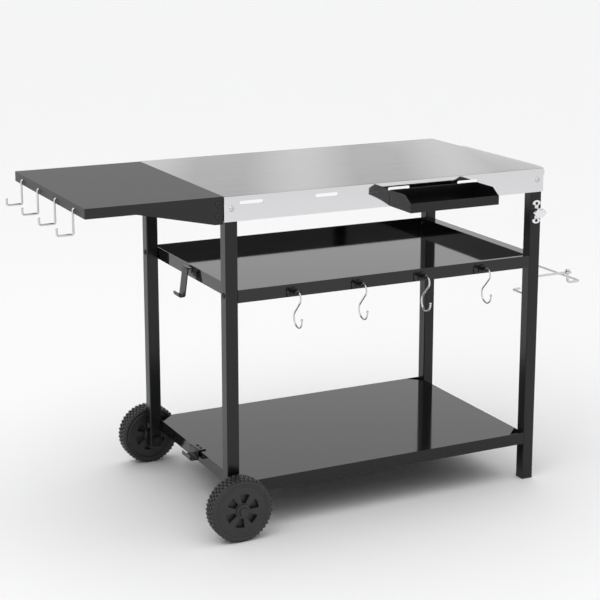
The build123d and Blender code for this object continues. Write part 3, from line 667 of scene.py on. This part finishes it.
def facing_disc(shape, place, half_width, half_height, sides, turn=0.0):
    """Flat oval that faces the front, as the vertices of its rim."""
    upright = Matrix.Translation(place) @ Matrix.Rotation(math.pi / 2.0, 4, "X")
    size = Matrix.Diagonal((half_width, half_height, 1.0, 1.0)) @ Matrix.Rotation(turn, 4, "Z")
    return bmesh.ops.create_circle(
        shape, cap_ends=True, segments=sides, radius=1.0, matrix=upright @ size)["verts"]


def facing_hexagon(shape, place, half_width, half_height):
    """Hexagon that faces the front, with its points at the sides and drawn-in top and bottom edges."""
    tall, draw_in = half_height / math.sin(math.pi / 3.0), 0.75
    ring = facing_disc(shape, place, half_width, tall, 6, math.pi / 2.0)
    flat = [vert for vert in ring if abs(vert.co.z - place.z) > half_height / 2.0]
    scaled(shape, flat, (draw_in, 1.0, 1.0), place)
    return ring[0].link_faces[0]


def sink(shape, face, step, share=1.0):
    """Push a face inwards, with walls from its old outline."""
    verts = extruded(shape, face, step)
    bmesh.ops.delete(shape, geom=[face], context="FACES")
    scaled(shape, verts, (share, share, share), centre_of(verts))


def opener_hood(shape, place, front, back):
    """Hood with pointed ends, a slot under its top edge and a pocket from below."""
    half_width, half_height, root_shares = 0.020, 0.012, (0.6, 1.0, 0.8)
    pocket_wall, pocket_share, rim_round = 0.002, 0.8, 0.0009
    slot_half, slot_low, slot_high, slot_depth = 0.0055, 0.0070, 0.0098, 0.007
    slack, least_angle = 0.0001, 0.5
    face = facing_hexagon(shape, Vector((place.x, front, place.z)), half_width, half_height)
    root = extruded(shape, face, (0.0, back - front, 0.0))
    scaled(shape, root, root_shares, place)
    under = min(shape.faces, key=lambda face: face.calc_center_median().z)
    bmesh.ops.inset_region(shape, faces=[under], thickness=pocket_wall, use_even_offset=True)
    sink(shape, under, Vector((0.0, 0.0, half_height)), pocket_share)
    for spot, way in (
            ((0.0, slot_low), (0.0, 0.0, 1.0)), ((0.0, slot_high), (0.0, 0.0, 1.0)),
            ((-slot_half, 0.0), (1.0, 0.0, 0.0)), ((slot_half, 0.0), (1.0, 0.0, 0.0))):
        bmesh.ops.bisect_plane(
            shape, geom=shape.verts[:] + shape.edges[:] + shape.faces[:], dist=0.000001,
            plane_co=place + Vector((spot[0], 0.0, spot[1])), plane_no=way)
    mouth = Vector((place.x, front, place.z + (slot_low + slot_high) / 2.0))
    slot = min(shape.faces, key=lambda face: (face.calc_center_median() - mouth).length)
    sink(shape, slot, Vector((0.0, slot_depth, 0.0)))

    def on_slot(vert):
        across, up = abs(vert.co.x - place.x), vert.co.z - place.z
        return across < slot_half + slack and slot_low - slack < up < slot_high + slack

    rim = [
        edge for edge in shape.edges if all(abs(vert.co.y - front) < TOUCHING for vert in edge.verts)
        and edge.calc_face_angle() > least_angle and not all(on_slot(vert) for vert in edge.verts)]
    rounded(shape, rim, rim_round, 2)


def opener_plate(shape, place, wall, thick):
    """Plate with a broad low ear round each screw and a narrow neck behind the hood."""
    half_width, rise, fall, reach, sides, edge_round = 0.0115, 0.008, 0.0055, 0.02125, 48, 0.0010
    neck_half, neck_thick = 0.005, thick * 0.8
    for side in (1.0, -1.0):
        screw = Vector((place.x, wall - thick, place.z + side * reach))
        rim = facing_disc(shape, screw, half_width, rise, sides)
        inner = [vert for vert in rim if (vert.co.z - screw.z) * side < 0.0]
        scaled(shape, inner, (1.0, 1.0, fall / rise), screw)
        face = rim[0].link_faces[0]
        extruded(shape, face, (0.0, thick, 0.0))
        rounded(shape, face.edges[:], edge_round, 3)
    size = Matrix.Diagonal((2.0 * neck_half, neck_thick, 2.0 * reach, 1.0))
    neck = Matrix.Translation((place.x, wall - neck_thick / 2.0, place.z))
    bmesh.ops.create_cube(shape, size=1.0, matrix=neck @ size)


class CART_OT_opener(bpy.types.Operator):
    """Press the bottle opener's plate and its hood"""

    bl_idname = "cart.opener"
    bl_label = "Bottle opener"

    def execute(self, context):
        low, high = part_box("bottle_opener")
        place, thick = middle("bottle_opener"), 0.003
        shape = bmesh.new()
        opener_hood(shape, place, low[1], high[1] - thick / 2.0)
        opener_plate(shape, place, high[1], thick)
        finished(shape, "pressed_bottle_opener", "frame", "bottle_opener")
        return {"FINISHED"}


WHEEL_BORE, WHEEL_WEB, WHEEL_TREAD, WHEEL_STEPS = 0.00505, 0.0200, 0.0728, 144
# Windows: how many, their radii, the first one's turn and half of each one's width in degrees, their bevel
WINDOW_COUNT, WINDOW_INNER, WINDOW_OUTER = 6, 0.0180, 0.0410
WINDOW_TURN, WINDOW_HALF, WINDOW_BEVEL = 20.0, 17.5, 0.0007
# Half of the wheel's section, each point's radius and distance from the middle plane
WHEEL_SECTION = (
    (WHEEL_BORE, 0.0), (WHEEL_BORE, 0.0240), (0.0140, 0.0240), (0.0158, 0.0228), (0.0160, WHEEL_WEB),
    (WINDOW_INNER, WHEEL_WEB), (WINDOW_OUTER, WHEEL_WEB), (0.0580, WHEEL_WEB), (0.0590, 0.0213),
    (0.0600, 0.0217), (0.0614, 0.0213), (0.0624, 0.0203), (0.0640, 0.0203), (0.0660, 0.0216),
    (0.0690, 0.0220), (0.0714, 0.0209), (0.0725, 0.0188), (WHEEL_TREAD, 0.0165), (WHEEL_TREAD, 0.0),
)
AXLE = (0.0, 1.0, 0.0)
ORIGIN = (0.0, 0.0, 0.0)


def wheel_face(shape, window_depth):
    """Half a wheel from its middle plane to its front face, with the windows sunk into it."""
    chain = outline(shape, [(r, -t, 0.0) for r, t in WHEEL_SECTION])
    turned(shape, chain, ORIGIN, AXLE, WHEEL_STEPS)
    bmesh.ops.recalc_face_normals(shape, faces=shape.faces)
    pitch = 360.0 / WINDOW_COUNT

    def in_window(face):
        spot = face.calc_center_median()
        radius = math.hypot(spot.x, spot.z)
        angle = math.degrees(math.atan2(spot.z, spot.x)) - WINDOW_TURN
        off_middle = (angle + pitch / 2.0) % pitch - pitch / 2.0
        level = all(abs(vert.co.y + WHEEL_WEB) < TOUCHING for vert in face.verts)
        return level and WINDOW_INNER < radius < WINDOW_OUTER and abs(off_middle) < WINDOW_HALF

    windows = [face for face in shape.faces if in_window(face)]
    bmesh.ops.inset_region(
        shape, faces=windows, thickness=WINDOW_BEVEL, depth=-WINDOW_BEVEL, use_even_offset=True)
    made = bmesh.ops.extrude_face_region(shape, geom=windows)["geom"]
    bmesh.ops.delete(shape, geom=windows, context="FACES")
    bmesh.ops.translate(
        shape, verts=only(bmesh.types.BMVert, made), vec=(0.0, window_depth - WINDOW_BEVEL, 0.0))


def tread_knobs(shape, count, rows, height):
    """Staggered rows of bevelled knobs round the tyre."""
    root, width, shoulder_drop = 0.0712, 0.0412, 0.0004
    length_share, row_share, crown_share, bevel_share = 0.66, 0.74, 0.82, 0.16
    reach = WHEEL_TREAD + height
    length = 2.0 * math.pi * reach / count * length_share
    pitch = width / rows
    knobs = []
    for row in range(rows):
        middle_y = (row - (rows - 1) / 2.0) * pitch
        outermost = row in (0, rows - 1)
        top = reach - (shoulder_drop if outermost else 0.0)
        half_way = (top + root) / 2.0
        size = Matrix.Diagonal((top - root, pitch * row_share, length, 1.0))
        place = Matrix.Translation((half_way, middle_y, 0.0))
        turn = Matrix.Rotation(math.pi / count * (row % 2), 4, "Y")
        knob = bmesh.ops.create_cube(shape, size=1.0, matrix=turn @ place @ size)["verts"]
        crown = [vert for vert in knob if math.hypot(vert.co.x, vert.co.z) > half_way]
        scaled(shape, crown, (crown_share, crown_share, crown_share), centre_of(crown))
        knobs += knob
    bevelled = rounded(shape, edges_of(knobs), height * bevel_share, 1)
    parts = bevelled["verts"] + bevelled["edges"] + bevelled["faces"]
    whole = dict.fromkeys(parts + [face for vert in bevelled["verts"] for face in vert.link_faces])
    bmesh.ops.spin(
        shape, geom=list(whole), cent=ORIGIN, axis=AXLE, angle=2.0 * math.pi * (count - 1) / count,
        steps=count - 1, use_duplicate=True)


class CART_OT_wheels(bpy.types.Operator):
    """Mould the two wheels with their windows and knobbed treads"""

    bl_idname = "cart.wheels"
    bl_label = "Wheels"

    def execute(self, context):
        sizes = context.scene.cart_sizes
        for name in ("front_wheel", "back_wheel"):
            shape = bmesh.new()
            wheel_face(shape, sizes.window_depth)
            bmesh.ops.mirror(
                shape, geom=shape.verts[:] + shape.edges[:] + shape.faces[:], axis="Y", merge_dist=TOUCHING)
            tread_knobs(shape, sizes.knob_count, sizes.knob_rows, sizes.knob_height)
            bmesh.ops.translate(shape, verts=shape.verts, vec=middle(name))
            finished(shape, f"tyred_{name}", name, name)
        return {"FINISHED"}


# Radius and height of a bolt's head, radius of its shank, radius and depth of its socket
BOLT_HEAD, BOLT_RISE, BOLT_SHANK, BOLT_STEPS = 0.0070, 0.0035, 0.0030, 24
SOCKET_RADIUS, SOCKET_DEPTH = BOLT_HEAD * 0.30, 0.0020
# Node, axis of its bolts, which ways their heads face along it, and length below the head
BOLT_SETS = (
    ("apron_bolts", "Y", (-1, 1), 0.012), ("tray_bolts", "X", (-1, 1), 0.037),
    ("shelf_bolts", "X", (-1, 1), 0.037), ("side_shelf_bolts", "Y", (-1, 1), 0.0095),
    ("bracket_bolts", "X", (-1,), 0.013),
)


def socket_bolt(shape, seat, way, shank):
    """Domed bolt with a hexagon socket, its head on the seat and facing the given way."""
    before = set(shape.verts)
    section = [
        (BOLT_SHANK * 0.8, -shank), (BOLT_SHANK, -shank + 0.0006), (BOLT_SHANK, 0.0), (BOLT_HEAD, 0.0),
        (BOLT_HEAD, 0.0006), (BOLT_HEAD * 0.94, 0.0014), (BOLT_HEAD * 0.80, 0.0024),
        (BOLT_HEAD * 0.58, 0.0032), (BOLT_HEAD * 0.36, BOLT_RISE)]
    chain = outline(shape, [(r, 0.0, z) for r, z in section])
    turned(shape, chain, ORIGIN, (0.0, 0.0, 1.0), BOLT_STEPS)
    new = [vert for vert in shape.verts if vert not in before]
    ends = [edge for edge in edges_of(new) if edge.is_boundary]
    tail = [edge for edge in ends if edge.verts[0].co.z < 0.0]
    bmesh.ops.contextual_create(shape, geom=tail)
    hexagon = bmesh.ops.create_circle(
        shape, segments=6, radius=SOCKET_RADIUS, matrix=Matrix.Translation((0.0, 0.0, BOLT_RISE)))["verts"]
    mouth = edges_of(hexagon)
    bmesh.ops.bridge_loops(shape, edges=mouth + [edge for edge in ends if edge not in tail])
    floor = run_on(shape, mouth, Vector((0.0, 0.0, -SOCKET_DEPTH)))
    bmesh.ops.contextual_create(shape, geom=floor)
    new = [vert for vert in shape.verts if vert not in before]
    turn = Vector(way).to_track_quat("Z", "Y").to_matrix().to_4x4()
    bmesh.ops.transform(shape, matrix=Matrix.Translation(seat) @ turn, verts=new)


def spots(low, high, margin):
    """Middle of a short side of a box, or two places a margin in from the ends of a long one."""
    if high - low < 3.0 * margin:
        return [(low + high) / 2.0]
    return [low + margin, high - margin]


class CART_OT_bolts(bpy.types.Operator):
    """Turn the frame's domed bolts with their sockets"""

    bl_idname = "cart.bolts"
    bl_label = "Bolts"

    def execute(self, context):
        for name, axis, ways, shank in BOLT_SETS:
            low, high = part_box(name)
            along = "XYZ".index(axis)
            first, second = [i for i in range(3) if i != along]
            shape = bmesh.new()
            for side in ways:
                way = Vector(ORIGIN)
                way[along] = side
                for a in spots(low[first], high[first], BOLT_HEAD):
                    for b in spots(low[second], high[second], BOLT_HEAD):
                        seat = Vector(ORIGIN)
                        seat[along] = (low if side < 0 else high)[along] - side * BOLT_RISE
                        seat[first], seat[second] = a, b
                        socket_bolt(shape, seat, way, shank)
            finished(shape, f"socket_{name}", "frame", name)
        return {"FINISHED"}


LAMP_PLACE, LAMP_AIM, LAMP_SIZE, LAMP_POWER = (-2.2, -1.2, 3.2), (0.0, 0.0, 0.4), 2.5, 22.0
# Square root of the world's light on dull surfaces, at the horizon and straight above
LIGHT_LEVEL, LIGHT_ABOVE = 0.20, 1.34
FLOOR_RADIUS = 40.0
# The camera's place, its angles in degrees and its lens in millimetres
CAMERA_PLACE, CAMERA_DOWN, CAMERA_RIGHT = (-1.6663, -3.3624, 1.4489), 12.392, 26.303
CAMERA_LENS, CAMERA_SENSOR, CAMERA_SHIFT = 94.06, 36.0, -0.1


def area_lamp(name, place, aim, size, power):
    """Soft square lamp turned towards a point."""
    lamp = bpy.data.lights.new(name, "AREA")
    lamp.size = size
    lamp.energy = power
    made = bpy.data.objects.new(name, lamp)
    made.location = place
    made.rotation_euler = (Vector(aim) - Vector(place)).to_track_quat("-Z", "Y").to_euler()
    bpy.context.scene.collection.objects.link(made)


def floor_piece(colour):
    """Wide round floor, which keeps the cart's shadow."""
    mesh = bpy.data.meshes.new("studio_floor")
    shape = bmesh.new()
    bmesh.ops.create_circle(shape, cap_ends=True, segments=96, radius=FLOOR_RADIUS)
    shape.to_mesh(mesh)
    shape.free()
    floor = bpy.data.objects.new("studio_floor", mesh)
    material, tree, shader = new_material("studio_floor")
    grain = object_noise(tree, EVEN, scale=2.0, detail=2.0)
    tinted(tree, shader, grain, colour, spread=0.004)
    shader.inputs["Roughness"].default_value = 0.6
    shader.inputs["Specular IOR Level"].default_value = 0.2
    mesh.materials.append(material)
    bpy.context.scene.collection.objects.link(floor)


def studio_world(pale):
    """Pale surroundings, whose light on dull surfaces is stronger from above than from the sides."""
    world = bpy.data.worlds.new("studio_light")
    world.use_nodes = True
    tree = world.node_tree
    seen = tree.nodes["Background"]
    seen.inputs["Color"].default_value = pale
    lit = tree.nodes.new("ShaderNodeBackground")
    lit.inputs["Color"].default_value = pale
    place = tree.nodes.new("ShaderNodeTexCoord")
    split = tree.nodes.new("ShaderNodeSeparateXYZ")
    tree.links.new(place.outputs["Generated"], split.inputs["Vector"])
    rise = ranged(tree, split.outputs["Z"], LIGHT_LEVEL, LIGHT_ABOVE, 0.0, 1.0)
    tree.links.new(combined(tree, "MULTIPLY", rise, rise), lit.inputs["Strength"])
    rays = tree.nodes.new("ShaderNodeLightPath")
    shown = rays.outputs["Is Camera Ray"]
    for kind in ("Is Glossy Ray", "Is Transmission Ray"):
        shown = combined(tree, "MAXIMUM", shown, rays.outputs[kind])
    mix = tree.nodes.new("ShaderNodeMixShader")
    tree.links.new(shown, mix.inputs["Fac"])
    tree.links.new(lit.outputs["Background"], mix.inputs[1])
    tree.links.new(seen.outputs["Background"], mix.inputs[2])
    tree.links.new(mix.outputs["Shader"], tree.nodes["World Output"].inputs["Surface"])
    return world


def photo_camera():
    """Camera that looks down on the cart from the front left."""
    lens = bpy.data.cameras.new("photo_camera")
    lens.sensor_width = CAMERA_SENSOR
    lens.lens = CAMERA_LENS
    lens.shift_y = CAMERA_SHIFT
    camera = bpy.data.objects.new("photo_camera", lens)
    camera.location = CAMERA_PLACE
    camera.rotation_euler = (math.radians(90.0 - CAMERA_DOWN), 0.0, math.radians(-CAMERA_RIGHT))
    bpy.context.scene.collection.objects.link(camera)
    return camera


class CART_OT_stage(bpy.types.Operator):
    """Build the pale floor, the soft light and the camera"""

    bl_idname = "cart.stage"
    bl_label = "Stage"

    def execute(self, context):
        scene = context.scene
        pale = scene.cart_finishes.floor
        floor_piece(pale)
        scene.world = studio_world((*pale, 1.0))
        area_lamp("key_lamp", LAMP_PLACE, LAMP_AIM, LAMP_SIZE, LAMP_POWER)
        scene.camera = photo_camera()
        scene.view_settings.view_transform = "Standard"
        return {"FINISHED"}


class CART_PT_panel(bpy.types.Panel):
    """Sizes, colours and steps of the cart"""

    bl_idname = "CART_PT_panel"
    bl_label = "Outdoor Cart"
    bl_space_type = "VIEW_3D"
    bl_region_type = "UI"
    bl_category = "Cart"

    def draw(self, context):
        for group in (context.scene.cart_sizes, context.scene.cart_finishes):
            for name in group.__annotations__:
                self.layout.prop(group, name)
        for step in STEPS:
            self.layout.operator(step.bl_idname)


STEPS = (
    CART_OT_finishes, CART_OT_rim_hooks, CART_OT_s_hooks, CART_OT_towel_bar, CART_OT_handle, CART_OT_opener,
    CART_OT_wheels, CART_OT_bolts, CART_OT_stage,
)
CLASSES = (CartSizes, CartFinishes, *STEPS, CART_PT_panel)


def register():
    for cls in CLASSES:
        bpy.utils.register_class(cls)
    bpy.types.Scene.cart_sizes = PointerProperty(type=CartSizes)
    bpy.types.Scene.cart_finishes = PointerProperty(type=CartFinishes)


def unregister():
    del bpy.types.Scene.cart_finishes
    del bpy.types.Scene.cart_sizes
    for cls in reversed(CLASSES):
        bpy.utils.unregister_class(cls)


def main():
    register()
    bpy.ops.cart.finishes()
    bpy.ops.cart.rim_hooks()
    bpy.ops.cart.s_hooks()
    bpy.ops.cart.towel_bar()
    bpy.ops.cart.handle()
    bpy.ops.cart.opener()
    bpy.ops.cart.wheels()
    bpy.ops.cart.bolts()
    bpy.ops.cart.stage()


if __name__ == "__main__":
    main()
